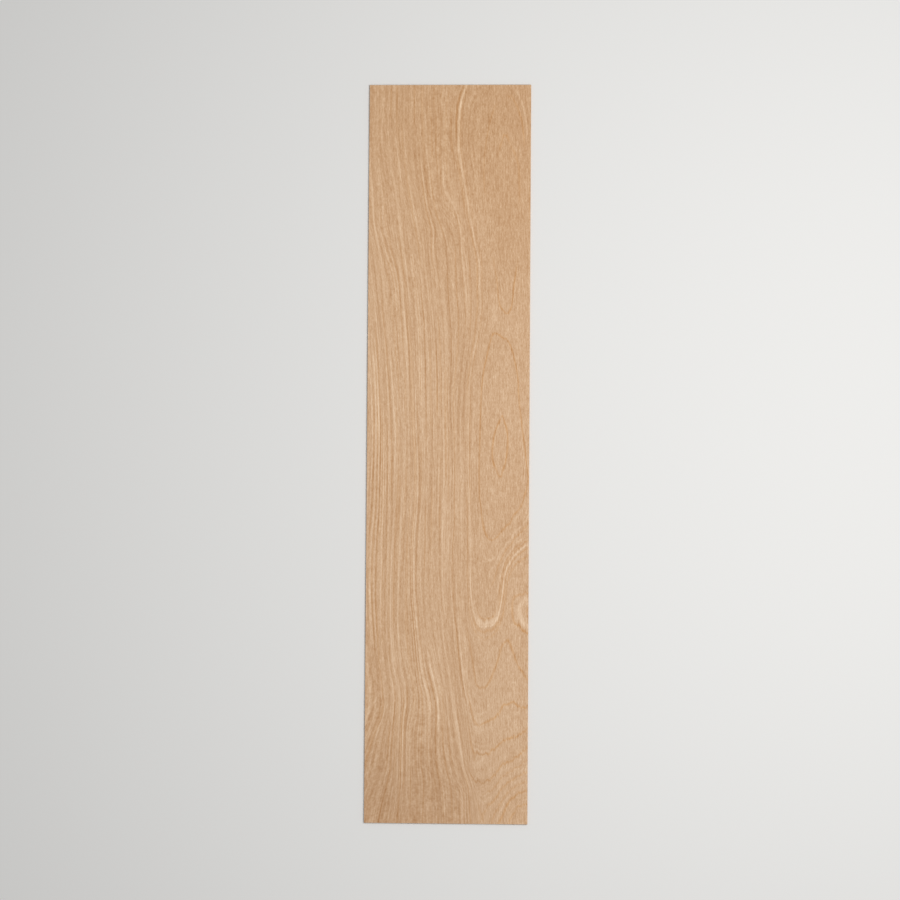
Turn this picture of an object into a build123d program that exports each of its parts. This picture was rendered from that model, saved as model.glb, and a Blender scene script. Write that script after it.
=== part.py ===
import os

from build123d import *

# Three-ply birch plywood sheet, a narrow board cut lengthwise from a full sheet, lying flat.
# A face veneer and a back veneer run their grain along the board, and a crossband core runs its
# grain across it. The plies are bonded face to face, and all four edges are sawn through the stack.
# Millimetres. +Y runs along the board and the face grain, +X across it, +Z out of the show face.
# The origin is the middle of the underside, where the board lies on the floor.

# Driving dimensions
board_length = 910.0
board_width = 200.0
back_veneer_thickness = 0.9
crossband_core_thickness = 1.2
face_veneer_thickness = 0.9
corner_radius = 0.3
arris_radius = 0.2

# The stack from the floor up: node name, thickness, and the rim of that ply that is sanded round
lay_up = [
    ("back_veneer", back_veneer_thickness, "lower"),
    ("crossband_core", crossband_core_thickness, None),
    ("face_veneer", face_veneer_thickness, "upper"),
]


def board_outline():
    """The sawn outline that every ply shares, with its four corners just off sharp."""
    return RectangleRounded(board_width, board_length, corner_radius)


def ply(thickness, underside, eased_rim):
    """One veneer, sawn to the board's outline, with its outer arris sanded where it has one."""
    veneer = extrude(Plane.XY.offset(underside) * board_outline(), amount=thickness)
    if eased_rim is None:
        return veneer
    faces_up = veneer.faces().sort_by(Axis.Z)
    outer_face = faces_up[0] if eased_rim == "lower" else faces_up[-1]
    arris = min(arris_radius, thickness / 3)
    return fillet(outer_face.edges(), arris)


def build_stack():
    """Every ply by node name, each one laid on the one below it."""
    plies = {}
    underside = 0.0
    for node, thickness, eased_rim in lay_up:
        plies[node] = ply(thickness, underside, eased_rim)
        underside += thickness
    return plies


os.makedirs("parts", exist_ok=True)
for node, solid in build_stack().items():
    solid.label = node
    export_step(solid, f"parts/{node}.step")
    size = solid.bounding_box().size
    print(f"{node}: {size.X:.2f} x {size.Y:.2f} x {size.Z:.2f} mm, {solid.volume / 1000:.2f} cm3")
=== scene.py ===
import math
from collections import namedtuple

import bpy
import numpy as np
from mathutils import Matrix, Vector


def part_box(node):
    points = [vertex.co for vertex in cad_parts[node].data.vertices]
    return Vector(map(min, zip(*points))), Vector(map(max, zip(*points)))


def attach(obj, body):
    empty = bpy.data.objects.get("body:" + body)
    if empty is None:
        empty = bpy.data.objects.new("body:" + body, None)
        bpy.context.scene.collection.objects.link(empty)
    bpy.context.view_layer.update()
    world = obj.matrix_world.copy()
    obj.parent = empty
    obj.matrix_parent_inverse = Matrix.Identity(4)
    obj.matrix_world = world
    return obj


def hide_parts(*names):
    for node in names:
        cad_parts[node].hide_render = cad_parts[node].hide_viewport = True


# A three-ply birch sheet lying flat: its face veneer with the growth figure of the photographed
# board, its sawn edges with the plies showing, and its back. Places on the board are in
# millimetres from its middle, x across and y along the grain, until metres are needed.

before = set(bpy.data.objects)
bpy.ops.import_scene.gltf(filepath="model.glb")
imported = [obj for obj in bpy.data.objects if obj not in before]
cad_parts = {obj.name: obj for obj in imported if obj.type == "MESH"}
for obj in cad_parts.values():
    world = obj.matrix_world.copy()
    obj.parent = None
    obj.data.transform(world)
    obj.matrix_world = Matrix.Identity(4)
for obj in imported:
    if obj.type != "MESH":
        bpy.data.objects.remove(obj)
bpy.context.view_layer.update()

MM = 0.001
FACE_LOW, FACE_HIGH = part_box("face_veneer")
HALF_WIDTH = FACE_HIGH.x / MM
HALF_LENGTH = FACE_HIGH.y / MM
FACE_TOP = FACE_HIGH.z / MM
FACE_BOTTOM = FACE_LOW.z / MM

# The sawn outline and its eased rim, as in the solid
CORNER_RADIUS = 0.3
ARRIS_RADIUS = 0.2
ARRIS_STEPS = 4
CORNER_STEPS = 4
# The face's grid: how far inside the outline it ends, and its pitch both ways
GRID_INSET = 0.7
GRID_ACROSS = 1.4
GRID_ALONG = 2.4

# Growth rings that meet the face, each followed from end to end
pale_line = [
    (20, 455), (15, 440), (12, 425), (11, 410), (10.5, 395), (10.5, 380), (12, 367), (15, 350),
    (18, 335), (21.5, 318), (25, 298), (28.5, 280), (32, 262), (35.5, 247), (37.5, 235), (38, 220),
    (38, 205), (38.5, 190), (39, 178), (37.5, 165), (36, 150), (33.5, 137), (31, 122), (29, 108),
    (27, 95), (25.8, 80), (25.5, 50), (25, 20), (25, -15), (26, -55), (27, -85), (28, -115),
    (28.5, -155), (29.5, -175), (31.5, -190), (34, -201), (36.5, -209), (40, -214), (44, -216.5),
    (50, -215), (57, -211), (61, -205), (64, -196), (66.5, -185), (68.5, -170), (70.5, -155),
    (74, -143), (79.5, -131), (88, -121), (100, -110),
]
lower_eye = [
    (59.5, 147), (53, 141), (50.5, 133), (47, 118), (44, 105), (42, 90), (40.5, 75), (40, 55),
    (39.5, 35), (39, 10), (38.5, -20), (39, -50), (40.5, -65), (42.5, -80), (45, -94), (48, -103),
    (52, -108), (57, -107), (62, -103), (67, -98), (72, -91), (78, -83), (84, -75), (90, -66),
    (94, -55), (98, -42), (99, -32), (97.5, -20), (96, -8), (94.5, 5), (92.5, 20), (90.5, 35),
    (88.5, 50), (86.5, 70), (86, 85), (84.5, 97), (82, 110), (79, 123), (75, 133), (70, 139),
    (65, 143), (59.5, 147),
]
small_eye = [
    (66, 43), (62, 35), (58, 25), (55.5, 12), (54.5, 0), (55.5, -11), (58.5, -20), (62, -28),
    (64.5, -31), (67.5, -22), (70.5, -12), (72.5, 0), (73.5, 12), (72.5, 25), (70, 35), (66, 43),
]
upper_eye = [
    (67, 442), (60, 437), (55, 427), (50.5, 412), (46, 392), (43, 370), (42, 350), (43, 330),
    (45, 310), (47, 290), (49, 270), (52, 250), (56, 230), (59, 212), (60, 200), (61.5, 188),
    (65, 176), (70, 170), (74.5, 174), (78, 184), (79.5, 200), (81.5, 215), (84, 235), (86, 255),
    (88, 280), (89.5, 305), (91, 330), (92, 355), (91.5, 380), (89, 403), (84.5, 420), (78, 434),
    (67, 442),
]
upper_core = [
    (68, 393), (64, 384), (60, 370), (58, 350), (57, 325), (58, 300), (60, 278), (64, 262),
    (70, 253), (77, 260), (82, 276), (85, 300), (86, 325), (85.5, 345), (83, 362), (76, 378),
    (68, 393),
]
lens = [
    (100, -172), (92, -174), (86, -176.5), (82, -180), (80.5, -187), (80.5, -197), (82, -206),
    (86, -212), (91, -217), (100, -223),
]
first_wave = [
    (14, 455), (5.5, 440), (3, 425), (2, 410), (2, 395), (3, 380), (4.5, 367), (6.5, 350),
    (9, 335), (12, 318), (14, 300), (17.5, 283), (21, 265), (24, 250), (26.5, 235), (27.5, 220),
    (28, 200), (28.5, 180), (28, 160), (26, 140), (23.5, 120), (21, 100), (19.5, 80), (18.5, 50),
    (18, 0), (18, -50), (18, -100), (18.5, -150), (20, -180), (22, -207), (25, -222), (28, -235),
    (30, -245), (31.5, -255), (33, -265), (35, -277), (36, -285), (41, -290), (47, -288),
    (52, -283), (55, -277), (58, -268), (61, -260), (64, -250), (66, -242), (68.5, -235),
    (72.5, -230), (76, -233), (78.5, -239), (81.5, -247), (84.5, -256), (89, -263), (94, -270),
    (100, -279),
]
second_wave = [
    (-3, 455), (-5, 440), (-7, 425), (-7.5, 410), (-8, 395), (-8, 380), (-8.5, 367), (-8, 352),
    (-7, 338), (-4.5, 325), (0.5, 315), (5, 306), (10, 294), (13, 281), (14.5, 266), (15.5, 250),
    (17, 238), (19, 225), (20, 210), (21.5, 195), (22.5, 180), (23, 165), (21.5, 147), (20, 130),
    (18, 115), (16.5, 100), (15, 85), (14, 70), (13, 35), (13, -60), (13, -130), (14, -165),
    (15.5, -190), (17, -212), (18.5, -232), (20, -250), (21.5, -270), (23.5, -286), (26, -298),
    (29, -308), (31, -317), (34, -328), (37, -334), (41, -336), (46, -334), (53, -328), (60, -324),
    (65, -318), (70, -310), (76, -308), (82, -305.5), (88, -309), (94, -312), (100, -311),
]
third_wave = [
    (-25, 455), (-25, 430), (-23, 410), (-22.5, 385), (-22, 370), (-20, 355), (-19, 340),
    (-18, 325), (-16, 312), (-13, 300), (-9, 290), (-4, 281), (1, 272), (5, 262), (7, 250),
    (7, 235), (7.5, 220), (8, 205), (9, 190), (10, 175), (11, 160), (11.5, 145), (10.5, 130),
    (10, 112), (8.5, 95), (7, 75), (6.5, 60), (7, 45), (8, 20), (8.5, -20), (8, -60), (8.5, -90),
    (7, -110), (6, -135), (6.5, -160), (8, -182), (10, -205), (12, -225), (14, -245), (16, -262),
    (18, -278), (21, -295), (24, -312), (25.5, -326), (27.5, -341), (30, -354), (33, -364),
    (37, -369), (42, -370.5), (50, -369), (57, -364), (64, -359), (70, -354), (76, -350.5),
    (83, -347), (90, -344), (100, -339),
]
fourth_wave = [
    (26.5, -385), (29.5, -394), (34, -401), (41, -404), (48, -403), (56, -398), (63, -390.5),
    (70, -383), (78, -377.5), (86, -372), (94, -366), (100, -361),
]
fifth_wave = [
    (38, -458), (45, -445), (53, -432), (62, -421), (72, -409), (82, -400), (91, -395),
    (100, -391),
]
sixth_wave = [(64, -455), (69, -446), (75, -431), (83, -422), (91, -417), (100, -414)]

# Growth rings of the straight-grained left part
pale_streak = [
    (-38, 455), (-38, 420), (-37, 395), (-36, 370), (-33, 345), (-31, 332), (-29, 318), (-27, 305),
    (-24, 293), (-20.5, 282), (-18.5, 270), (-19, 255), (-18, 240), (-16, 228), (-15, 213),
    (-13.5, 198), (-11.5, 180), (-9.5, 162), (-8, 145), (-7, 125), (-6, 90), (-6, 50), (-5, 0),
    (-5, -40), (-6, -80), (-6.5, -110), (-6, -150), (-5, -178), (-3, -195), (-1.5, -212),
    (0, -228), (2, -245), (4, -260), (6.5, -277), (9, -293), (11, -308), (13, -325), (15.5, -341),
    (18, -358), (20, -373), (22.5, -387), (26, -399), (29, -409), (31, -425), (32, -440),
    (34, -455),
]
white_streak = [
    (-66, 455), (-66, 420), (-66, 400), (-65, 380), (-62.5, 362), (-60, 342), (-57, 325),
    (-53, 300), (-49.5, 278), (-46, 257), (-43, 240), (-40.5, 222), (-38, 205), (-36, 185),
    (-34, 165), (-33, 145), (-32, 120), (-31, 80), (-30, 40), (-29.5, 0), (-30, -50), (-31, -100),
    (-32, -145), (-31, -178), (-29, -205), (-26.5, -228), (-23, -247), (-19.5, -264), (-16, -279),
    (-12.5, -293), (-10, -306), (-9, -325), (-9, -355), (-8.5, -372), (-6.5, -388), (-3.5, -401),
    (-1, -412), (0.5, -430), (1.5, -455),
]
dark_streak = [
    (-78, 455), (-78, 410), (-77, 380), (-74, 352), (-69.5, 330), (-66, 305), (-63, 280),
    (-60, 255), (-57, 235), (-54.5, 215), (-52, 195), (-50, 170), (-47.5, 145), (-45.5, 122),
    (-45, 100), (-44, 70), (-43.5, 45), (-42, 15), (-41, -5), (-40.5, -30), (-40.5, -60),
    (-42, -82), (-44, -108), (-44.5, -150), (-44, -180), (-42, -198), (-40.5, -215), (-39, -230),
    (-37.5, -245), (-35.5, -263), (-33, -280), (-30.5, -293), (-29, -305), (-28.5, -325),
    (-29.5, -350), (-30, -378), (-28, -391), (-26.5, -403), (-26.5, -425), (-27.5, -455),
]
left_streak = [
    (-88, 455), (-88, 410), (-87, 380), (-83, 350), (-79, 328), (-76.5, 308), (-74.5, 288),
    (-71.5, 270), (-68.5, 252), (-65, 240), (-62, 226), (-60, 212), (-58.5, 198), (-56.5, 172),
    (-54.5, 145), (-52.5, 118), (-51, 92), (-50.5, 60), (-50, 20), (-50.5, -20), (-52, -60),
    (-53.5, -100), (-54.5, -150), (-55.5, -195), (-55, -222), (-53, -240), (-51, -258),
    (-48, -275), (-45.5, -289), (-44.5, -301), (-45.5, -316), (-48, -332), (-49, -350),
    (-49, -400), (-50, -430), (-51, -455),
]
edge_pale = [
    (-100, 330), (-97, 300), (-94.5, 280), (-91, 262), (-87.5, 247), (-84, 227), (-81.5, 207),
    (-79.5, 187), (-77, 165), (-74.5, 145), (-72.5, 120), (-70, 98), (-68.5, 78), (-66.5, 52),
    (-65, 25), (-64.2, 0), (-65, -50), (-67, -100), (-68.5, -150), (-68.6, -200), (-67.8, -225),
    (-64.8, -260), (-60.5, -285), (-58.5, -300), (-58.5, -315), (-59, -332), (-60, -350),
    (-61, -380), (-62, -410), (-65, -432), (-68, -455),
]
far_dark = [
    (-100, 290), (-91.7, 250), (-87.8, 225), (-82.4, 175), (-77.3, 125), (-73.6, 75), (-72.3, 50),
    (-70, 0), (-70.4, -50), (-71.4, -100), (-72.3, -150), (-73, -190), (-72.5, -220), (-71, -245),
    (-69, -264), (-66, -281), (-63.5, -296), (-63.5, -312), (-65, -335), (-67, -360), (-68, -385),
    (-71, -402), (-75, -418), (-79, -435), (-83, -455),
]
outer_dark = [
    (-100, 225), (-96.5, 200), (-93.5, 175), (-90.8, 150), (-88.1, 120), (-85.9, 90), (-84.6, 60),
    (-83.4, 30), (-83.3, 0), (-83.7, -30), (-84, -60), (-85, -85), (-86.5, -105), (-87.5, -135),
    (-88, -160), (-87.5, -190), (-86, -217), (-84.5, -238), (-83, -258), (-81, -275), (-79, -293),
    (-78, -308), (-80, -323), (-85, -335), (-89.5, -347), (-93.5, -361), (-97.5, -377),
    (-101, -393),
]
corner_line = [(-86, -300), (-87, -318), (-91, -333), (-96, -345), (-101, -356)]
corner_turn = [(-77, -335), (-79.5, -350), (-82, -368), (-85, -385), (-90, -404), (-97, -425)]

# How far out each ring lies: its distance left of the pale line at mid-length
rings = [
    (pale_line, 0.0), (lower_eye, -13.5), (small_eye, -29.5), (upper_eye, -13.5),
    (upper_core, -22.0), (lens, 7.0), (first_wave, 7.0), (second_wave, 12.0), (third_wave, 17.0),
    (fourth_wave, 22.0), (fifth_wave, 26.0), (sixth_wave, 30.0), (pale_streak, 30.0),
    (white_streak, 54.5), (dark_streak, 66.0), (left_streak, 75.0), (edge_pale, 89.0),
    (far_dark, 94.0), (outer_dark, 107.0), (corner_line, 113.0), (corner_turn, 101.0),
]
# Single places between the rings: the hearts of the eyes and the open figure at the right edge
ring_spots = [
    ((64, 5), -37.0), ((71, 320), -27.0), ((66, 158), -11.5), ((100, -197), 13.0),
    ((86, -224), 5.2), ((98, 100), -10.5), ((99, 250), -9.0), ((99, 400), -9.0),
    ((60, 452), -11.0), ((90, 452), -8.5), ((45, 440), -9.5),
]

# The fibres: they follow the rings at the left, and run straight through the figure at the right
inner_fibre = [
    (-8, 455), (0, 300), (9, 200), (12, 100), (12, 0), (11, -100), (14, -200), (28, -330),
    (40, -455),
]
middle_fibre = [
    (22, 455), (26, 300), (30, 150), (30, 0), (31, -100), (34, -200), (43, -330), (50, -455),
]
straight_fibre = [(60, 455), (60, 200), (60, 0), (61, -200), (64, -330), (68, -455)]
edge_fibre = [(90, 455), (90, 0), (90, -200), (92, -455)]
fibre_guides = [
    (outer_dark, -84.0), (far_dark, -71.0), (edge_pale, -65.0), (left_streak, -50.0),
    (dark_streak, -41.0), (white_streak, -29.5), (pale_streak, -5.0), (inner_fibre, 12.0),
    (middle_fibre, 30.0), (straight_fibre, 60.0), (edge_fibre, 90.0),
]

# A growth line that stands out: its ring, how much paler or darker it is in screen levels, its
# half width in millimetres, and the stretch of the board where it shows, by default all of it
GrowthLine = namedtuple("GrowthLine", "ring tone half_width y_low y_high x_low x_high",
                        defaults=(-460, 460, -110, 110))
growth_lines = [GrowthLine(*line) for line in [
    # The long pale line, and the darker wood on both sides of it
    (0, 12, 0.9, -240, 190), (0.4, 17, 0.9, 190, 345), (0, 20, 1.6, 340), (-0.5, 7, 3.0, 425),
    (2.6, -11, 1.5, 392), (3.6, -9, 1.6, 298, 362), (2.4, -9, 1.0, 70, 300),
    (2.2, -9, 0.9, -230, -50), (-1.3, -7, 0.9, -60, 60), (-1.8, -4, 0.9, 60, 430),
    (-0.6, 17, 3.2, -260, -170, 36, 63), (-1.5, -9, 1.0, -230, -190, 36, 60),
    (0.9, -9, 1.6, -240, -200, 32, 66), (0, 9, 1.0, -215, -110, 60),
    (-0.9, -9, 0.8, -190, -100, 62), (0.8, -9, 0.8, -190, -100, 62),
    # The eyes
    (-13.5, -15, 0.9, -20, 160, 35), (-13.5, -14, 1.0, -115, -20, 35),
    (-29.5, -17, 1.0, -20, 60, 45), (-29.5, -10, 1.0, -60, -20, 45),
    (-13.5, -7, 0.9, 185, 235, 52, 66), (-13.5, -14, 0.9, 158, 226, 62),
    (-13.5, -7, 0.9, 320, 430, 36, 58), (-13.2, -12, 1.0, 385, 445, 70),
    (-11, 14, 1.1, 395, 460, 68), (-22, -10, 1.2, 372, 402, 58, 74), (-22, -9, 1.2, 310, 380, 76),
    (-8.7, 15, 1.2, -150, -95, 30, 60), (-7, 13, 1.1, -150, -70, 56),
    (-5.2, -9, 0.9, -160, -80, 45), (-3, 10, 0.9, -180, -100, 60), (-1.9, -9, 0.8, -180, -110, 60),
    # The pale lens at the right edge
    (7, -12, 1.4, -228, -168, 72), (9.1, 19, 3.7, -226, -172, 72), (12.3, -9, 1.0, -224, -178, 72),
    # The waves at the lower right
    (7, -12, 1.3, -300, -216, 24), (12, -15, 1.3, -350, -290, 28), (17, -15, 1.3, -380, -330, 28),
    (22, -12, 1.2, -412, -350, 28), (23.1, 6, 0.9, -420, -355, 45),
    (24.1, -7, 0.9, -430, -360, 45), (25.1, 5, 0.9, -440, -370, 45),
    (26, -11, 1.1, -460, -385, 40), (27.1, 6, 0.9, -460, -390, 48), (28, -8, 0.9, -460, -395, 50),
    (29, 9, 0.9, -460, -410, 55), (30, -15, 1.3, -460, -408, 55), (31.5, 5, 0.9, -460, -410, 65),
    # The streaks of the straight-grained part, from the pale line out to the left edge
    (7.6, -8, 2.0, 368, 425), (8.9, 6, 1.0, 395, 430), (8.2, -9, 0.9, 145, 240),
    (6.8, 5, 0.8, 140, 240), (9.5, 8, 0.9, -295, -220, -110, 30), (10.8, 7, 1.0, -65, -25),
    (11.2, -7, 0.8, 320, 460), (12.2, 9, 0.8, 320, 460), (12.1, 12, 0.9, 150, 310),
    (12, 6, 0.9, -220, -70), (13, -7, 0.8, 320, 460), (13.5, -6, 0.7, 150, 300),
    (13.8, 8, 0.8, 330, 460), (14.3, 7, 0.8, 0, 110), (14, 9, 1.1, -305, -130, -110, 30),
    (14.6, -6, 0.8, 340, 460), (15.4, 6, 0.6, 125, 230), (15.6, 10, 1.0, 345, 395),
    (16.7, -12, 0.8, 120, 250), (17.1, -9, 1.0, 365, 435), (17.2, -9, 1.0, -10, 125),
    (16.8, -8, 1.0, -300, -10, -110, 30), (18.8, 5, 0.8, -220, 120), (20.4, 7, 0.8, 60, 220),
    (20.6, -7, 1.2, 260, 345), (21.3, -7, 0.8, 105, 220), (22.5, 8, 1.3, 320, 460),
    (22.8, 11, 0.9, 45, 105), (22, 8, 0.8, -130, -65), (24.4, -6, 0.9, -60, 110),
    (26.5, -5, 1.6, 300, 460), (27.5, -9, 1.1, -35, 110), (29, -6, 0.9, 265, 310),
    (30.7, 11, 1.2, 0, 360), (30, 11, 1.2, -230, 0), (29.4, 7, 1.3, -310, -230),
    (31, 11, 1.5, -405, -320), (32.2, -13, 1.0, -460, -395), (33.6, -8, 0.9, 55, 165),
    (33.5, -9, 1.0, -90, -55), (33.2, -6, 1.1, 240, 335), (34.6, -7, 0.8, -55, 10),
    (35.6, 6, 0.8, -80, 25), (36, -9, 1.2, 405, 460), (36.8, 6, 0.8, 40, 140),
    (37, 8, 1.0, -460, -405), (38.5, -12, 1.1, 45, 130), (38.8, 9, 0.9, -90, -45),
    (39.6, 8, 1.0, -460, -400), (40.2, 7, 0.9, 150, 200), (42.4, 12, 0.8, 15, 60),
    (43.5, 9, 0.9, 60, 230), (43.3, -8, 1.1, -120, -45), (43, 10, 1.1, -400, -365),
    (45, -8, 1.1, -385, -335), (45, 6, 0.9, -180, -120), (46.5, -8, 1.0, 30, 130),
    (47, 8, 1.3, 225, 405), (48, -8, 1.1, -335, -290), (49.2, -6, 1.0, 240, 400),
    (50.6, -11, 1.1, -405, -325), (51, -10, 1.0, -145, -70), (50.9, 7, 0.8, 150, 240),
    (52.2, -9, 0.8, 10, 200), (53.6, 7, 1.2, -110, -70), (54.6, -10, 1.1, 395, 460),
    (54.8, 13, 1.2, -395, -240), (54.2, 10, 0.8, -460, -395), (55.2, 7, 1.1, -220, -110),
    (55.6, 10, 1.5, 338, 400), (55.8, 9, 0.7, 50, 240), (56.7, -6, 0.6, 50, 240),
    (57.7, 8, 0.7, 60, 240), (57.3, -10, 1.0, -405, -270), (56.6, -9, 0.8, -460, -400),
    (57.8, -6, 1.0, -70, 10), (59.4, 6, 0.8, -400, -250), (60.6, -6, 0.8, -420, 60),
    (61.6, -9, 1.1, 415, 460), (62.4, 10, 1.1, 0, 230), (62.8, 10, 1.1, -420, 0),
    (63.6, 11, 1.7, 220, 285), (64.6, -7, 0.6, -230, 60), (65.3, 7, 0.6, -240, -60),
    (66.2, -11, 0.8, -460, 0), (66.9, -10, 1.1, 0, 120), (67, -6, 1.1, 120, 260),
    (67.4, 12, 0.7, -460, -100), (68.2, -6, 0.6, -460, -200), (69.1, 8, 0.8, -460, -40),
    (70.3, -6, 0.8, -320, 200), (71.6, -7, 1.0, -325, -105), (71.8, 7, 1.0, -410, -325),
    (73.6, 11, 1.8, 120, 240), (74.4, 7, 1.1, -410, -230), (75.9, 8, 1.0, 40, 350),
    (75.5, -6, 1.0, -140, -20), (77.9, -10, 1.1, -415, -285), (77.8, -7, 0.8, 40, 310),
    (79.2, 11, 1.2, -240, 10), (79.2, 7, 0.8, 220, 310), (80.4, 7, 1.0, -420, -300),
    (80.4, -7, 0.7, 110, 300), (81.4, 6, 0.6, 90, 300), (82.2, -7, 0.6, 90, 240),
    (82.6, -10, 1.1, -460, -300), (82.5, -7, 0.9, -160, -40), (83, 7, 0.6, 80, 240),
    (84.1, -8, 0.7, 60, 250), (85.4, -8, 1.2, -210, 10), (85.6, 5, 0.7, 0, 120),
    (87.2, -8, 0.8, -10, 70), (86.6, 8, 1.0, 230, 330), (87.4, 11, 1.3, -460, -290),
    (89.5, 13, 1.0, 0, 240), (90, 12, 1.3, -290, 0), (92.4, 8, 0.7, -460, -340),
    (93.4, -9, 1.0, -50, 190), (93.9, -12, 0.9, -460, -290), (95.4, 6, 0.8, -460, -50),
    (96.6, 9, 0.8, -60, 60), (98, -6, 0.8, -220, 80), (99.8, 9, 0.9, -70, 110),
    (101.2, -6, 0.8, -240, 60), (102.7, 6, 0.8, -240, 40), (104.3, -8, 0.8, -100, 60),
    (105.3, 6, 0.7, -300, 120), (106.9, -11, 0.9, -300, 150), (108.7, 12, 1.0, -240, 140),
    (110.6, -8, 0.8, -240, 100), (112.7, 12, 1.1, -220, 120), (115.2, -9, 1.0, -100, 80),
    (117.3, 8, 0.9, -60, 80),
    # Thin streaks at the lower end, and the bands that turn off at the lower left corner
    (33.9, 10, 0.9, -460, -415), (38.6, -7, 0.8, -460, -405), (42.6, -7, 0.8, -460, -405),
    (44.9, 6, 0.8, -460, -405), (46.8, -7, 0.8, -460, -405), (48.7, 6, 0.8, -460, -405),
    (50.4, -9, 0.9, -460, -405), (52.2, 5, 0.7, -460, -405), (59.8, -5, 0.8, -460, -400),
    (63.2, -5, 0.8, -460, -300), (65.1, 6, 0.8, -460, -385), (70.9, -8, 0.8, -460, -390),
    (84.8, 6, 0.8, -460, -330), (91, -7, 0.8, -400, -300), (96.2, -8, 0.9, -390, -335),
    (98.4, 6, 1.4, -425, -330), (101.5, 8, 1.6, -400, -330), (104.6, 6, 1.2, -390, -340),
    (106.8, -12, 1.3, -410, -300), (109.2, -6, 1.0, -380, -300), (113.5, 6, 1.3, -345, -290),
    (118, 9, 2.2, -345, -285),
]]


# Thin-plate fits through lines of known value

FIT_SCALE = np.array([0.01, 0.0045])
FIT_EASE = 1e-7
RING_STEP = 14
FIBRE_STEP = 40
CHUNK = 8192
ALMOST_NOTHING = 1e-6


def follow(points, step):
    """Points about a step apart on the smooth curve through the given ones."""
    p = np.array(points, float)
    ends = np.vstack([2 * p[0] - p[1], p, 2 * p[-1] - p[-2]])
    found = []
    for a, b, c, d in zip(ends, ends[1:], ends[2:], ends[3:]):
        count = max(1, math.ceil(np.linalg.norm(c - b) / step))
        t = (np.arange(count) / count)[:, None]
        found.append(0.5 * (2 * b + (c - a) * t + (2 * a - 5 * b + 4 * c - d) * t ** 2
                            + (3 * b - a - 3 * c + d) * t ** 3))
    return np.vstack([*found, p[-1:]])


def kernel(a, b):
    """The pull between every two places: their distance squared, times its logarithm."""
    squared = ((a[:, None] - b[None]) ** 2).sum(-1)
    return squared * np.log(squared + ALMOST_NOTHING)


def fitted(lines, spots, step):
    """The smoothest field that has each line's value along it."""
    places, values = [], []
    for line, value in lines:
        on_line = follow(line, step)
        if line[0] == line[-1]:
            on_line = on_line[:-1]
        places.append(on_line)
        values += [value] * len(on_line)
    for place, value in spots:
        places.append(np.array([place], float))
        values.append(value)
    centres = np.vstack(places) * FIT_SCALE
    bends = kernel(centres, centres) + FIT_EASE * np.eye(len(centres))
    flat = np.hstack([np.ones((len(centres), 1)), centres])
    whole = np.block([[bends, flat], [flat.T, np.zeros((3, 3))]])
    return centres, np.linalg.solve(whole, np.concatenate([values, np.zeros(3)]))


def field_at(field, places):
    """The fitted field's value at each place."""
    centres, weights = field
    scaled = places * FIT_SCALE
    values = np.empty(len(places))
    for start in range(0, len(places), CHUNK):
        part = scaled[start:start + CHUNK]
        flat = np.hstack([np.ones((len(part), 1)), part])
        values[start:start + CHUNK] = kernel(part, centres) @ weights[:-3] + flat @ weights[-3:]
    return values


# The face veneer's mesh

TOP_PART = 0
RIM_PART = 1
SHARP_ANGLE = 40


def even(half, pitch):
    """Evenly spaced places from one side to the other, about a pitch apart."""
    count = math.ceil(2 * half / pitch)
    return np.linspace(-half, half, count + 1)


def rim_loop(xs, ys, inset, z):
    """The sawn outline at one height: each side's grid places and the rounded corners, in turn."""
    x_side = HALF_WIDTH - inset
    y_side = HALF_LENGTH - inset
    radius = CORNER_RADIUS - inset
    arc = [math.pi / 2 * k / CORNER_STEPS for k in range(CORNER_STEPS + 1)]
    centre_x = HALF_WIDTH - CORNER_RADIUS
    centre_y = HALF_LENGTH - CORNER_RADIUS
    loop = [(x_side, y) for y in ys]
    loop += [(centre_x + radius * math.cos(a), centre_y + radius * math.sin(a)) for a in arc]
    loop += [(x, y_side) for x in xs[::-1]]
    loop += [(-centre_x - radius * math.sin(a), centre_y + radius * math.cos(a)) for a in arc]
    loop += [(-x_side, y) for y in ys[::-1]]
    loop += [(-centre_x - radius * math.cos(a), -centre_y - radius * math.sin(a)) for a in arc]
    loop += [(x, -y_side) for x in xs]
    loop += [(centre_x + radius * math.sin(a), -centre_y - radius * math.cos(a)) for a in arc]
    return [(x, y, z) for x, y in loop]


def rim_loops(xs, ys):
    """Loops from the flat top out over the arris and down the sawn side."""
    loops = []
    for k in range(ARRIS_STEPS + 1):
        angle = math.pi / 2 * k / ARRIS_STEPS
        inset = ARRIS_RADIUS * (1 - math.sin(angle))
        drop = ARRIS_RADIUS * (1 - math.cos(angle))
        loops.append(rim_loop(xs, ys, inset, FACE_TOP - drop))
    loops.append(rim_loop(xs, ys, 0.0, FACE_BOTTOM))
    return loops


def grid_faces(columns, rows):
    firsts = [j * columns + i for j in range(rows - 1) for i in range(columns - 1)]
    return [(a, a + 1, a + 1 + columns, a + columns) for a in firsts]


def grid_border(columns, rows):
    """The grid's point that each point of the first loop is joined to, in turn."""
    sides = [[j * columns + columns - 1 for j in range(rows)],
             [(rows - 1) * columns + i for i in range(columns - 1, -1, -1)],
             [j * columns for j in range(rows - 1, -1, -1)],
             list(range(columns))]
    return [point for side in sides for point in side + [side[-1]] * (CORNER_STEPS + 1)]


def faces_between(inner, outer):
    """Faces from one loop of points to the next; they are triangles where a point repeats."""
    faces = []
    for k in range(len(outer)):
        after = (k + 1) % len(outer)
        faces.append(tuple(dict.fromkeys([inner[k], outer[k], outer[after], inner[after]])))
    return faces


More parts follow.
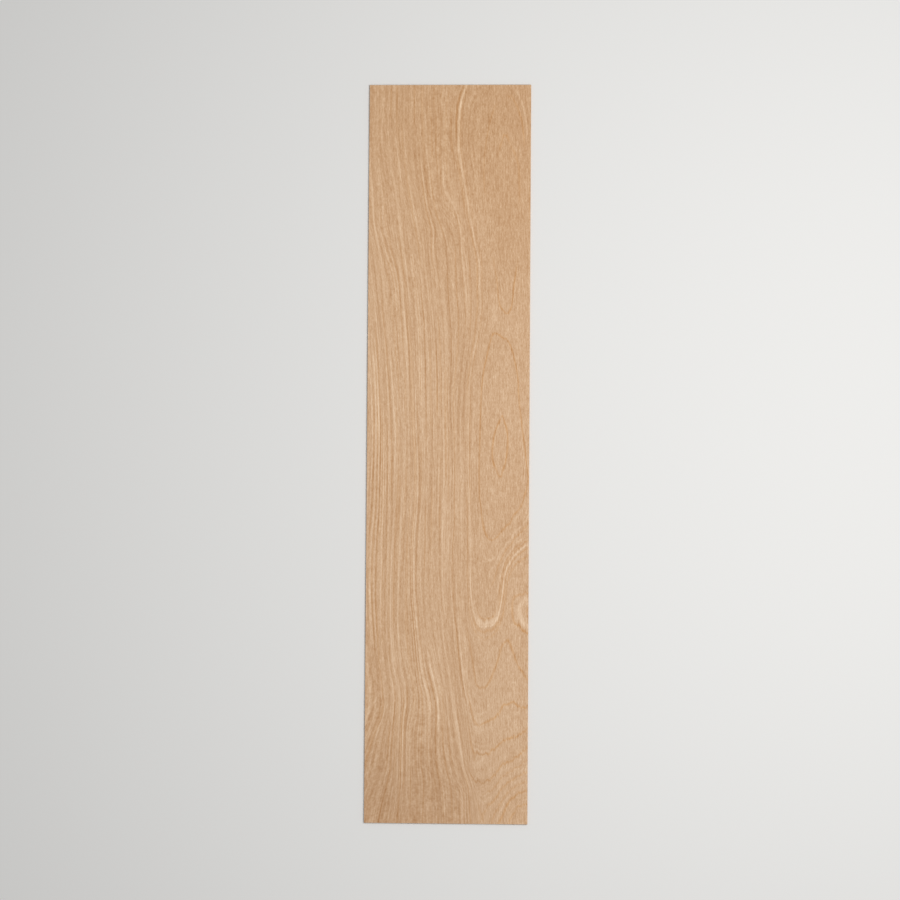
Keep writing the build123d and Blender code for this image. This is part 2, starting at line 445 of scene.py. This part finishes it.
def glue_faces(loop, columns, rows):
    """The glue side inside the lowest loop: strips from side to side, and a fan at each end."""
    left_start = rows + columns + 2 * (CORNER_STEPS + 1)
    right = loop[:rows]
    left = loop[left_start:left_start + rows][::-1]
    faces = [(right[j], left[j], left[j + 1], right[j + 1]) for j in range(rows - 1)]
    far_end = loop[rows - 1:left_start + 1]
    near_end = loop[left_start + rows - 1:] + loop[:1]
    for end in (far_end, near_end):
        faces += [(end[0], b, a) for a, b in zip(end[1:], end[2:])]
    return faces


def face_mesh(xs, ys):
    """The veneer as a closed mesh: a fine grid on top, the eased rim, the sawn sides, the glue side."""
    columns, rows = len(xs), len(ys)
    points = [(x, y, FACE_TOP) for y in ys for x in xs]
    loops = []
    for loop in rim_loops(xs, ys):
        loops.append(list(range(len(points), len(points) + len(loop))))
        points += loop
    top = grid_faces(columns, rows) + faces_between(grid_border(columns, rows), loops[0])
    rim = [face for inner, outer in zip(loops, loops[1:]) for face in faces_between(inner, outer)]
    rim += glue_faces(loops[-1], columns, rows)
    parts = [TOP_PART] * len(top) + [RIM_PART] * len(rim)
    return np.array(points), top + rim, parts


# Limits of a ring's width on the face in millimetres, and the least change of ring in one of them
SPREAD_LEAST = 0.35
SPREAD_MOST = 12.0
CHANGE_LEAST = 0.01


def nearest(places, grid):
    """The number of the grid line that is nearest to each place."""
    return np.clip((places - grid[0]) / (grid[1] - grid[0]), 0, len(grid) - 1).round().astype(int)


def figure_at(points, xs, ys):
    """The figure at every point of the mesh, from the grid on the face.

    ring and fibre are the two fields, climb is how fast the rings follow each other along the
    board, and spread is how many millimetres lie from one ring to the next.
    """
    places = np.array([(x, y) for y in ys for x in xs])
    shape = (len(ys), len(xs))
    ring = field_at(fitted(rings, ring_spots, RING_STEP), places).reshape(shape)
    fibre = field_at(fitted(fibre_guides, [], FIBRE_STEP), places).reshape(shape)
    climb, across = np.gradient(ring, ys, xs)
    spread = 1 / np.maximum(np.hypot(climb, across), CHANGE_LEAST)
    fields = {"ring": ring, "fibre": fibre, "climb": climb,
              "spread": np.clip(spread, SPREAD_LEAST, SPREAD_MOST)}
    row, column = nearest(points[:, 1], ys), nearest(points[:, 0], xs)
    return {name: field[row, column] for name, field in fields.items()}


# The face's map keeps most of the square for the show side, with more texels across the grain.
# The top and the glue side are left, low, width and height; the four sawn sides are low strips.
MAP_LEFT = 0.01
MAP_WIDTH = 0.98
TOP_MAP = (MAP_LEFT, 0.085, MAP_WIDTH, 0.905)
GLUE_MAP = (MAP_LEFT, 0.055, MAP_WIDTH, 0.02)
STRIPS_LOW = 0.005
STRIP_HEIGHT = 0.008
STRIP_GAP = 0.002
LOOKS_UP = 0.999
LOOKS_DOWN = -0.5


def map_corner(x, y, z, normal):
    """Where a corner of the mesh lies on the map, from its place and the way its face looks."""
    along = (y + HALF_LENGTH) / (2 * HALF_LENGTH)
    across = (x + HALF_WIDTH) / (2 * HALF_WIDTH)
    if normal.z > LOOKS_UP:
        left, low, width, height = TOP_MAP
        return left + width * across, low + height * along
    if normal.z < LOOKS_DOWN:
        left, low, width, height = GLUE_MAP
        return left + width * along, low + height * across
    up = (z - FACE_BOTTOM) / (FACE_TOP - FACE_BOTTOM)
    if abs(normal.x) >= abs(normal.y):
        strip, run = (0 if normal.x > 0 else 1), along
    else:
        strip, run = (2 if normal.y > 0 else 3), across
    low = STRIPS_LOW + strip * (STRIP_HEIGHT + STRIP_GAP)
    return MAP_LEFT + MAP_WIDTH * run, low + STRIP_HEIGHT * up


def make_face_veneer(top_material, rim_material):
    xs = even(HALF_WIDTH - GRID_INSET, GRID_ACROSS)
    ys = even(HALF_LENGTH - GRID_INSET, GRID_ALONG)
    points, faces, parts = face_mesh(xs, ys)
    mesh = bpy.data.meshes.new("face_veneer_figured")
    mesh.from_pydata([tuple(p) for p in points * MM], [], faces)
    mesh.materials.append(top_material)
    mesh.materials.append(rim_material)
    mesh.polygons.foreach_set("material_index", parts)
    for name, values in figure_at(points, xs, ys).items():
        attribute = mesh.attributes.new(name, "FLOAT", "POINT")
        attribute.data.foreach_set("value", values.astype(np.float32))
    layer = mesh.uv_layers.new(name="OFBake")
    for polygon in mesh.polygons:
        for corner in polygon.loop_indices:
            vertex = mesh.vertices[mesh.loops[corner].vertex_index].co
            place = [length / MM for length in vertex]
            layer.data[corner].uv = map_corner(*place, polygon.normal)
    mesh.polygons.foreach_set("use_smooth", [True] * len(mesh.polygons))
    mesh.set_sharp_from_angle(angle=math.radians(SHARP_ANGLE))
    mesh.validate()
    piece = bpy.data.objects.new("face_veneer_figured", mesh)
    bpy.context.scene.collection.objects.link(piece)
    return piece


# Materials

def linear(red, green, blue):
    """A screen colour, 0 to 255, as the linear colour that shaders use."""
    levels = [v / 255 for v in (red, green, blue)]
    return [v / 12.92 if v <= 0.04045 else ((v + 0.055) / 1.055) ** 2.4 for v in levels] + [1.0]


# Birch by tone, in screen levels from its middle colour: darker wood is also more orange
TONE_SPAN = 80.0
TONE_STOPS = range(-40, 41, 10)
BIRCH_PER_LEVEL = (0.82, 1.036, 1.17)
FACE_MIDDLE = (203.3, 165.0, 127.5)
BACK_MIDDLE = (196.0, 156.0, 118.0)
EDGE_MIDDLE = (190.0, 148.0, 108.0)
# How a level of amber, and a level of painted shade, scale red, green and blue
AMBER_TINT = (0.0039, -0.0008, -0.0100)
PAINTED_SHADE_TINT = (0.0110, 0.0133, 0.0148)
NOISE_SWING = 8.0
WOOD_SPECULAR = 0.2


class Wood:
    """A material's node tree, with short calls for what the wood patterns need."""

    def __init__(self, name, tree=None):
        if tree is None:
            self.material = bpy.data.materials.new(name)
            self.material.use_nodes = True
            tree = self.material.node_tree
            tree.nodes.clear()
        self.tree = tree

    def add(self, kind, **settings):
        node = self.tree.nodes.new(kind)
        for name, value in settings.items():
            setattr(node, name, value)
        return node

    def put(self, socket, value):
        """Link a socket to another one, or set its own value."""
        if isinstance(value, bpy.types.NodeSocket):
            self.tree.links.new(value, socket)
        else:
            socket.default_value = value

    def math(self, operation, *values, clamp=False):
        """One step of arithmetic, held between zero and one if asked."""
        node = self.add("ShaderNodeMath", operation=operation)
        for socket, value in zip(node.inputs, values):
            self.put(socket, value)
        result = node.outputs[0]
        if clamp:
            result = self.math("MINIMUM", self.math("MAXIMUM", result, 0.0), 1.0)
        return result

    def attribute(self, name):
        return self.add("ShaderNodeAttribute", attribute_name=name).outputs["Fac"]

    def place(self):
        """Where the surface is on the board, as three lengths in millimetres."""
        at = self.add("ShaderNodeTexCoord").outputs["Object"]
        split = self.add("ShaderNodeSeparateXYZ")
        self.put(split.inputs[0], at)
        return [self.math("DIVIDE", split.outputs[k], MM) for k in range(3)]

    def noise(self, across, along, width, length, seed, detail=2.0, rough=0.5):
        """Streaks about this wide and long, around zero, with a swing of about one."""
        joined = self.add("ShaderNodeCombineXYZ")
        self.put(joined.inputs[0], self.math("DIVIDE", across, width))
        self.put(joined.inputs[1], self.math("DIVIDE", along, length))
        joined.inputs[2].default_value = seed
        node = self.add("ShaderNodeTexNoise", noise_dimensions="3D")
        self.put(node.inputs["Vector"], joined.outputs[0])
        node.inputs["Scale"].default_value = 1.0
        node.inputs["Detail"].default_value = detail
        node.inputs["Roughness"].default_value = rough
        return self.math("MULTIPLY_ADD", node.outputs[0], NOISE_SWING, -NOISE_SWING / 2)

    def streaks(self, across, along, layers):
        """Several layers of streaks, added up."""
        return self.total([(self.noise(across, along, width, length, seed), strength)
                           for width, length, seed, strength in layers])

    def total(self, weighted):
        """The sum of values, each times its weight."""
        total = 0.0
        for value, weight in weighted:
            total = self.math("MULTIPLY_ADD", value, weight, total)
        return total

    def between(self, value, low, high, soft):
        """One between two limits and nothing outside them, with soft steps at both."""
        inside = []
        for limit, below, above in ((low, 0.0, 1.0), (high, 1.0, 0.0)):
            step = self.add("ShaderNodeMapRange", interpolation_type="SMOOTHSTEP", clamp=False)
            starts = self.math("SUBTRACT", limit, soft / 2)
            ends = self.math("ADD", limit, soft / 2)
            for socket, given in zip(step.inputs, (value, starts, ends, below, above)):
                self.put(socket, given)
            inside.append(step.outputs[0])
        return self.math("MULTIPLY", *inside)

    def colour_of(self, tone, middle):
        """The colour for a tone in screen levels, around a middle colour."""
        ramp = self.add("ShaderNodeValToRGB")
        stops = ramp.color_ramp.elements
        while len(stops) < len(TONE_STOPS):
            stops.new(0.5)
        for stop, level in zip(stops, TONE_STOPS):
            stop.position = 0.5 + level / TONE_SPAN
            stop.color = linear(*(m + level * step for m, step in zip(middle, BIRCH_PER_LEVEL)))
        self.put(ramp.inputs[0], self.math("MULTIPLY_ADD", tone, 1 / TONE_SPAN, 0.5, clamp=True))
        return ramp.outputs[0]

    def tinted(self, colour, amount, tint):
        """The colour with each of its channels scaled by one plus its tint times the amount."""
        scale = self.add("ShaderNodeVectorMath", operation="MULTIPLY_ADD")
        self.put(scale.inputs[0], amount)
        scale.inputs[1].default_value = tint
        scale.inputs[2].default_value = (1.0, 1.0, 1.0)
        product = self.add("ShaderNodeVectorMath", operation="MULTIPLY")
        self.put(product.inputs[0], colour)
        self.put(product.inputs[1], scale.outputs[0])
        return product.outputs[0]

    def finish(self, colour, roughness, relief, relief_depth):
        """Close the tree with a matt wood surface."""
        shader = self.add("ShaderNodeBsdfPrincipled")
        shader.inputs["Specular IOR Level"].default_value = WOOD_SPECULAR
        self.put(shader.inputs["Base Color"], colour)
        self.put(shader.inputs["Roughness"], roughness)
        bump = self.add("ShaderNodeBump")
        bump.inputs["Strength"].default_value = 1.0
        bump.inputs["Distance"].default_value = relief_depth * MM
        self.put(bump.inputs["Height"], relief)
        self.put(shader.inputs["Normal"], bump.outputs[0])
        output = self.add("ShaderNodeOutputMaterial")
        self.put(output.inputs["Surface"], shader.outputs[0])
        return self.material


# The growth lines. They end softly over so many millimetres along and across the board, and
# waver in strength. In straight grain they have flanks of the opposite tone, which take from
# their width, so that they are drawn wider there by this share.
LINE_END_SOFT = 30.0
LINE_SIDE_SOFT = 8.0
LINE_WAVER = 0.22
WAVER_STREAKS = (4.0, 45.0, 3.3)
STRAIGHT_FLANK = -1.2
STRAIGHT_WIDER = 0.35


def growth_line_group():
    """A node group that adds one growth line to the tone, and to the amber where it is dark."""
    group = bpy.data.node_groups.new("growth_line", "ShaderNodeTree")
    names = ["tone so far", "amber so far", "ring", "spread", "flank", "x", "y", "waver", "place",
             "tone", "half width", "y low", "y high", "x low", "x high"]
    for name in names:
        group.interface.new_socket(name, in_out="INPUT", socket_type="NodeSocketFloat")
    for name in ("tone", "amber"):
        group.interface.new_socket(name, in_out="OUTPUT", socket_type="NodeSocketFloat")
    wood = Wood("growth_line", group)
    given = wood.add("NodeGroupInput").outputs
    (tone_so_far, amber_so_far, ring, spread, flank, x, y, waver, place, tone, half_width, y_low,
     y_high, x_low, x_high) = (given[k] for k in range(len(names)))
    away = wood.math("MULTIPLY", wood.math("SUBTRACT", ring, place), spread)
    away = wood.math("DIVIDE", away, half_width)
    squared = wood.math("MULTIPLY", away, away)
    pulse = wood.math("EXPONENT", wood.math("MULTIPLY", squared, -1.0))
    pulse = wood.math("MULTIPLY", pulse, wood.math("MULTIPLY_ADD", squared, flank, 1.0))
    # The line's ends are cut a little at a slant
    slanted = wood.math("ADD", y, away)
    pulse = wood.math("MULTIPLY", pulse, wood.between(slanted, y_low, y_high, LINE_END_SOFT))
    pulse = wood.math("MULTIPLY", pulse, wood.between(x, x_low, x_high, LINE_SIDE_SOFT))
    added = wood.math("MULTIPLY", pulse, wood.math("MULTIPLY", tone, waver))
    output = wood.add("NodeGroupOutput")
    wood.put(output.inputs[0], wood.math("ADD", tone_so_far, added))
    wood.put(output.inputs[1], wood.math("SUBTRACT", amber_so_far, wood.math("MINIMUM", added, 0.0)))
    return group


def all_growth_lines(wood, ring, fibre, spread, straight, x, y):
    """The tone and the amber of every growth line that stands out, added up one after another.

    The sum starts at nothing and what else the tone holds comes later, so that few values wait.
    """
    group = growth_line_group()
    waver = wood.math("MULTIPLY_ADD", wood.noise(fibre, y, *WAVER_STREAKS), LINE_WAVER, 1.0)
    flank = wood.math("MULTIPLY", straight, STRAIGHT_FLANK)
    wider = wood.math("MULTIPLY_ADD", straight, STRAIGHT_WIDER, 1.0)
    spread = wood.math("DIVIDE", spread, wider)
    tone, amber = 0.0, 0.0
    for line in growth_lines:
        node = wood.add("ShaderNodeGroup", node_tree=group)
        given = (tone, amber, ring, spread, flank, x, y, waver, *line)
        for socket, value in zip(node.inputs, given):
            wood.put(socket, value)
        tone, amber = node.outputs[0], node.outputs[1]
    return tone, amber


# What runs along the rings: layers of streaks, each with its width and length in millimetres,
# its seed and its strength in screen levels, and paler and darker rings in turn. The streaks
# are weaker outside the straight grain. The rings are jagged by so many millimetres along it.
ring_streaks = [(2.4, 200.0, 23.0, 5.5), (1.3, 150.0, 31.0, 4.5)]
ring_jags = [(2.2, 60.0, 67.0, 1.1), (9.0, 90.0, 1.7, 1.2)]
SCALE_STEPS = 4
SEED_PARTS = 7
STREAKS_IN_FIGURE = 0.3
RING_PERIOD = 7.8
RING_TONE = 5.0
RING_DRIFT = 1.4
DRIFT_STREAKS = (24.0, 340.0, 29.0)
RING_SWELL = 0.35
RING_SWELL_MIDDLE = 0.8
SWELL_STREAKS = (14.0, 180.0, 37.0)


def even_rings(wood, ring, y):
    """Paler and darker rings in turn, about evenly spaced, that swell and fade."""
    drift = wood.math("MULTIPLY", wood.noise(ring, y, *DRIFT_STREAKS), RING_DRIFT)
    turn = wood.math("SINE", wood.math("MULTIPLY_ADD", ring, 2 * math.pi / RING_PERIOD, drift))
    swell = wood.noise(ring, y, *SWELL_STREAKS)
    return wood.math("MULTIPLY", turn, wood.math("MULTIPLY_ADD", swell, RING_SWELL, RING_SWELL_MIDDLE))


def streaks_along_rings(wood, ring, y, spread):
    """Streaks that follow the rings, and that get no wider where the rings spread out.

    Each step is half as wide as the one before it, with a seed that is a part further on.
    """
    octave = wood.math("MAXIMUM", wood.math("LOGARITHM", spread, 2.0), 0.0)
    weighted = []
    for step in range(SCALE_STEPS):
        away = wood.math("ABSOLUTE", wood.math("SUBTRACT", octave, float(step)))
        share = wood.math("SUBTRACT", 1.0, away, clamp=True)
        finer = [(width / 2 ** step, length, seed + step / SEED_PARTS, strength)
                 for width, length, seed, strength in ring_streaks]
        weighted.append((wood.streaks(ring, y, finer), share))
    return wood.total(weighted)


def tone_along_rings(wood, ring, spread, straight, line_tone, y):
    """The streaks and the growth lines, and in straight grain the rings in turn."""
    amount = wood.math("MULTIPLY_ADD", straight, 1 - STREAKS_IN_FIGURE, STREAKS_IN_FIGURE)
    tone = wood.math("MULTIPLY", streaks_along_rings(wood, ring, y, spread), amount)
    tone = wood.math("ADD", tone, line_tone)
    in_turn = wood.math("MULTIPLY", even_rings(wood, ring, y), straight)
    return wood.math("MULTIPLY_ADD", in_turn, RING_TONE, tone)


# What runs along the fibres, in the same measures: a little stronger outside the straight grain
fibre_streaks = [(2.0, 20.0, 41.0, 4.5), (1.3, 7.0, 43.0, 6.0), (0.9, 2.6, 59.0, 5.0)]
FIBRES_IN_FIGURE = 1.2
FINE_FIBRES = (0.9, 14.0, 41.0)
BANDS = (11.0, 110.0, 51.0)
BAND_TONE = 1.6
MOTTLING = (45.0, 120.0, 53.0)
MOTTLING_TONE = 0.7


def with_fibres(wood, tone, fibre, straight, x, y):
    """The tone with streaks and bands along the fibres, and a broad mottling."""
    amount = wood.math("MULTIPLY_ADD", straight, 1 - FIBRES_IN_FIGURE, FIBRES_IN_FIGURE)
    along_fibres = wood.streaks(fibre, y, fibre_streaks)
    tone = wood.math("MULTIPLY_ADD", along_fibres, amount, tone)
    bands = wood.math("MULTIPLY", wood.noise(fibre, y, *BANDS), amount)
    tone = wood.math("MULTIPLY_ADD", bands, BAND_TONE, tone)
    return wood.math("MULTIPLY_ADD", wood.noise(x, y, *MOTTLING), MOTTLING_TONE, tone)


# Soft clouds over the board: middle, half sizes across and along, and levels of tone, of painted shade
# and of amber. The painted shade darkens the lower end, most of all at the lower left corner, and the
# pale cloud at the middle of the left side is painted light where the lamp's light falls off.
clouds = [
    ((70, 440), (90, 110), -6, 0, 0), ((-75, -420), (75, 75), -3, -9, 0),
    # Painted shade at the lower end here, then painted light: the left middle made paler where the
    # lamp's light falls off
    ((15, -445), (45, 70), 2, -6, 0), ((-70, 60), (55, 260), 3, 0, 0),
    ((0, -40), (60, 120), 1.5, 0, 0), ((75, 60), (30, 90), 3, -1, 0),
    ((70, -330), (50, 140), 7, -2, -1), ((56, 172), (7, 15), 9, 0, 0),
    ((51, 225), (4, 20), 7, 0, 0), ((45, 268), (6, 26), 4, 0, 0),
    ((0, -200), (200, 330), 0, 0.5, -2.5), ((-70, 130), (50, 80), 1.5, 0, 0),
    ((75, 265), (45, 60), -2.5, 0, 0), ((0, 130), (40, 70), 0, -1.4, 0),
    ((0, 400), (200, 150), 0, -0.8, 3),
]


def cloudy(wood, x, y):
    """The slow changes of tone, of painted shade and of amber over the board; some of the tone is
    painted light.
    """
    layers = [[], [], []]
    for (cloud_x, cloud_y), (half_across, half_along), *levels in clouds:
        across = wood.math("MULTIPLY_ADD", x, 1 / half_across, -cloud_x / half_across)
        along = wood.math("MULTIPLY_ADD", y, 1 / half_along, -cloud_y / half_along)
        away = wood.math("MULTIPLY_ADD", across, across, wood.math("MULTIPLY", along, along))
        inside = wood.math("EXPONENT", wood.math("MULTIPLY", away, -1.0))
        for layer, level in zip(layers, levels):
            if level:
                layer.append((inside, float(level)))
    return [wood.total(layer) for layer in layers]


# A painted highlight, a paler band along the sawn outline: how far in it reaches, and how much paler it
# is
RIM_HIGHLIGHT_REACH = 1.3
RIM_HIGHLIGHT_TONE = 10.0
# Dark vessels, where their streaks rise past a start
VESSELS = (0.28, 3.2, 61.0)
VESSEL_GAIN = 0.9
VESSEL_START = -1.6
VESSEL_TONE = -14.0
# The straight grain fades out over so many millimetres and ends at this fibre. Its dark lines
# are less amber than those of the figure by this share.
STRAIGHT_END = 44
STRAIGHT_FADE = 18
STRAIGHT_AMBER_LOSS = 0.45
FACE_ROUGHNESS = 0.56
FACE_ROUGHNESS_SWING = 0.03
FACE_RELIEF = 0.012


def near_edge(wood, x, y):
    """One at the sawn outline, and nothing a little inside it: where the painted highlight lies."""
    from_side = wood.math("SUBTRACT", HALF_WIDTH, wood.math("ABSOLUTE", x))
    from_end = wood.math("SUBTRACT", HALF_LENGTH, wood.math("ABSOLUTE", y))
    inside = wood.math("MINIMUM", from_side, from_end)
    return wood.math("MULTIPLY_ADD", inside, -1 / RIM_HIGHLIGHT_REACH, 1.0, clamp=True)


def face_material():
    """The show side: growth figure, streaks and fibres, in the board's own pale tan, with painted shade
    and light from the clouds and a painted highlight along the outline.
    """
    wood = Wood("birch_face_veneer")
    x, y, _ = wood.place()
    ring = wood.attribute("ring")
    fibre = wood.attribute("fibre")
    spread = wood.attribute("spread")
    jag = wood.streaks(fibre, y, ring_jags)
    ring = wood.math("MULTIPLY_ADD", wood.attribute("climb"), jag, ring)
    straight = wood.math("MULTIPLY_ADD", fibre, -1 / STRAIGHT_FADE, STRAIGHT_END / STRAIGHT_FADE,
                         clamp=True)
    line_tone, line_amber = all_growth_lines(wood, ring, fibre, spread, straight, x, y)
    tone = tone_along_rings(wood, ring, spread, straight, line_tone, y)
    fibres = wood.noise(fibre, y, *FINE_FIBRES)
    tone = with_fibres(wood, tone, fibre, straight, x, y)
    # The clouds give tone with some painted light in it, painted shade, and amber
    cloud_tone, painted_shade, cloud_amber = cloudy(wood, x, y)
    tone = wood.math("ADD", tone, cloud_tone)
    warmth = wood.math("MULTIPLY_ADD", straight, -STRAIGHT_AMBER_LOSS, 1.0)
    amber = wood.math("MULTIPLY_ADD", line_amber, warmth, cloud_amber)
    vessels = wood.noise(fibre, y, *VESSELS, detail=0.0)
    fleck = wood.math("MULTIPLY_ADD", vessels, VESSEL_GAIN, VESSEL_START, clamp=True)
    tone = wood.math("MULTIPLY_ADD", fleck, VESSEL_TONE, tone)
    # Painted highlight: the face is paler along the sawn outline
    tone = wood.math("MULTIPLY_ADD", near_edge(wood, x, y), RIM_HIGHLIGHT_TONE, tone)
    colour = wood.colour_of(tone, FACE_MIDDLE)
    colour = wood.tinted(colour, amber, AMBER_TINT)
    # Painted shade: a plain darkening, strongest at the lower end
    colour = wood.tinted(colour, painted_shade, PAINTED_SHADE_TINT)
    roughness = wood.math("MULTIPLY_ADD", fibres, FACE_ROUGHNESS_SWING, FACE_ROUGHNESS)
    relief = wood.math("SUBTRACT", fibres, fleck)
    return wood.finish(colour, roughness, relief, FACE_RELIEF)


# The sawn edges: streaks of long grain, and the darker end grain on the cuts across the fibres
long_grain_streaks = [(0.35, 18.0, 5.0, 4.0), (0.12, 5.0, 7.0, 3.0)]
end_grain_streaks = [(1.4, 0.7, 9.0, 4.0), (0.25, 0.25, 13.0, 5.0)]
END_GRAIN_TONE = -16.0
SHORT_SIDE_REACH = 0.15
EDGE_ROUGHNESS = 0.68
EDGE_RELIEF = 0.004


def edge_tone(wood, x, y, z, along_y):
    """The sawn edges of a ply: long grain where its fibres run beside the cut, or else end grain."""
    fibres, cross = (y, x) if along_y else (x, y)
    short_side = wood.math("GREATER_THAN", wood.math("ABSOLUTE", y), HALF_LENGTH - SHORT_SIDE_REACH)
    long_grain = wood.streaks(z, fibres, long_grain_streaks)
    end_grain = wood.streaks(cross, z, end_grain_streaks)
    end_grain = wood.math("ADD", end_grain, END_GRAIN_TONE)
    is_end = short_side if along_y else wood.math("SUBTRACT", 1.0, short_side)
    mix = wood.math("SUBTRACT", end_grain, long_grain)
    return wood.math("MULTIPLY_ADD", mix, is_end, long_grain)


def edge_material(name, along_y):
    """The sawn edges of one ply."""
    wood = Wood(name)
    x, y, z = wood.place()
    tone = edge_tone(wood, x, y, z, along_y)
    colour = wood.colour_of(tone, EDGE_MIDDLE)
    return wood.finish(colour, EDGE_ROUGHNESS, tone, EDGE_RELIEF)


# The back: its rings stray from straight lines by two layers of streaks, in millimetres
back_bends = [(70.0, 260.0, 71.0), (9.0, 40.0, 73.0)]
BACK_BEND = 12.0
BACK_RIPPLE = 0.5
back_streaks = [(9.0, 260.0, 83.0, 3.2), (3.6, 160.0, 89.0, 4.2), (1.8, 70.0, 97.0, 2.6)]
BACK_FIBRES = (0.9, 14.0, 79.0)
BACK_FIBRE_TONE = 1.6
BACK_MOTTLING = (60.0, 150.0, 101.0)
BACK_MOTTLING_TONE = 2.0
BACK_TONE = -4.0
UNDERSIDE_REACH = 0.03
BACK_ROUGHNESS = 0.6


def back_material():
    """The side that lies on the floor, a plainer veneer, with its sawn edges."""
    wood = Wood("birch_back_veneer")
    x, y, z = wood.place()
    bend, ripple = back_bends
    ring = wood.math("MULTIPLY_ADD", wood.noise(x, y, *bend, detail=1.0), BACK_BEND, x)
    ring = wood.math("MULTIPLY_ADD", wood.noise(x, y, *ripple), BACK_RIPPLE, ring)
    figure = wood.streaks(ring, y, back_streaks)
    figure = wood.math("MULTIPLY_ADD", wood.noise(x, y, *BACK_FIBRES), BACK_FIBRE_TONE, figure)
    figure = wood.math("MULTIPLY_ADD", wood.noise(x, y, *BACK_MOTTLING), BACK_MOTTLING_TONE, figure)
    figure = wood.math("ADD", figure, BACK_TONE)
    face = wood.math("LESS_THAN", z, UNDERSIDE_REACH)
    edge = edge_tone(wood, x, y, z, True)
    tone = wood.math("MULTIPLY_ADD", wood.math("SUBTRACT", figure, edge), face, edge)
    colour = wood.colour_of(tone, BACK_MIDDLE)
    return wood.finish(colour, BACK_ROUGHNESS, tone, EDGE_RELIEF)


def dress(node, material):
    """Give a ply of the frame its material."""
    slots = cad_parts[node].data.materials
    slots.clear()
    slots.append(material)


face_veneer = make_face_veneer(face_material(), edge_material("face_veneer_sawn_edge", True))
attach(face_veneer, "root")
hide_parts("face_veneer")
dress("crossband_core", edge_material("birch_crossband", False))
dress("back_veneer", back_material())


# The room, in metres: a plain pale floor, a large soft light above the right side, a soft fill

FLOOR_SIZE = 8.0
FLOOR_COLOUR = (0.76, 0.755, 0.74, 1.0)
FLOOR_ROUGHNESS = 0.9
FLOOR_SPECULAR = 0.1
KEY_PLACE = Vector((0.75, 0.1, 1.9))
KEY_AIM = Vector((0.0, 0.05, 0.0))
KEY_SIZE = 1.2
KEY_POWER = 34.0
FILL_COLOUR = (1.0, 1.0, 1.0, 1.0)
FILL_STRENGTH = 0.32


def make_floor():
    half = FLOOR_SIZE / 2
    corners = [(-half, -half, 0), (half, -half, 0), (half, half, 0), (-half, half, 0)]
    mesh = bpy.data.meshes.new("floor")
    mesh.from_pydata(corners, [], [(0, 1, 2, 3)])
    floor = bpy.data.objects.new("floor", mesh)
    bpy.context.scene.collection.objects.link(floor)
    paint = Wood("pale_floor")
    shader = paint.add("ShaderNodeBsdfPrincipled")
    shader.inputs["Base Color"].default_value = FLOOR_COLOUR
    shader.inputs["Roughness"].default_value = FLOOR_ROUGHNESS
    shader.inputs["Specular IOR Level"].default_value = FLOOR_SPECULAR
    output = paint.add("ShaderNodeOutputMaterial")
    paint.put(output.inputs["Surface"], shader.outputs[0])
    mesh.materials.append(paint.material)
    return floor


def add_key_light():
    light = bpy.data.lights.new("key", "AREA")
    light.shape = "SQUARE"
    light.size = KEY_SIZE
    light.energy = KEY_POWER
    lamp = bpy.data.objects.new("key", light)
    lamp.location = KEY_PLACE
    lamp.rotation_euler = (KEY_PLACE - KEY_AIM).to_track_quat("Z", "Y").to_euler()
    bpy.context.scene.collection.objects.link(lamp)


def add_fill():
    world = bpy.data.worlds.new("soft_fill")
    world.use_nodes = True
    background = world.node_tree.nodes["Background"]
    background.inputs["Color"].default_value = FILL_COLOUR
    background.inputs["Strength"].default_value = FILL_STRENGTH
    bpy.context.scene.world = world


make_floor()
add_key_light()
add_fill()


# The photograph's view: place in metres, turn in degrees, lens and sensor in millimetres

CAMERA_PLACE = (0.1718, -0.1592, 3.4432)
CAMERA_TURN = (2.705, 2.80, 0.376)
LENS = 112.1
SENSOR = 36.0

camera_data = bpy.data.cameras.new("camera")
camera_data.lens = LENS
camera_data.sensor_width = SENSOR
camera = bpy.data.objects.new("camera", camera_data)
camera.location = CAMERA_PLACE
camera.rotation_euler = [math.radians(a) for a in CAMERA_TURN]
bpy.context.scene.collection.objects.link(camera)
bpy.context.scene.camera = camera
bpy.context.scene.view_settings.view_transform = "Standard"
